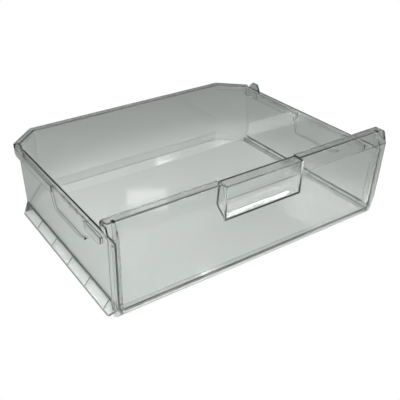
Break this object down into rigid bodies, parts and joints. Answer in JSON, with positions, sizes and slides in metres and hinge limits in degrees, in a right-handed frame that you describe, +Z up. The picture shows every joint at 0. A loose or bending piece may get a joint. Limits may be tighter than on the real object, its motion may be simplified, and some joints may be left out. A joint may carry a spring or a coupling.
{
  "type": "fridge drawer",
  "caption": "Clear slide-in fridge or freezer drawer with a leaning front, a central finger pocket, cut rear corners, side rails and ribbed skirts.",
  "frame": {"origin": "centre of the base: halfway across the drawer, halfway from the front of the grip to the back of the rim, on the plane it stands on", "axes": "+X to the right seen from the front, +Y to the back of the drawer, +Z up; the front faces -Y"},
  "size_m": [0.448, 0.361, 0.134],
  "materials": {
    "clear_plastic": "clear, gloss, with a faint grey-green tint"
  },
  "bodies": {
    "root": {"bin": "clear_plastic", "front_panel": "clear_plastic", "handle_pocket": "clear_plastic", "rear_glide_left": "clear_plastic", "rear_glide_right": "clear_plastic"}
  },
  "joints": []
}
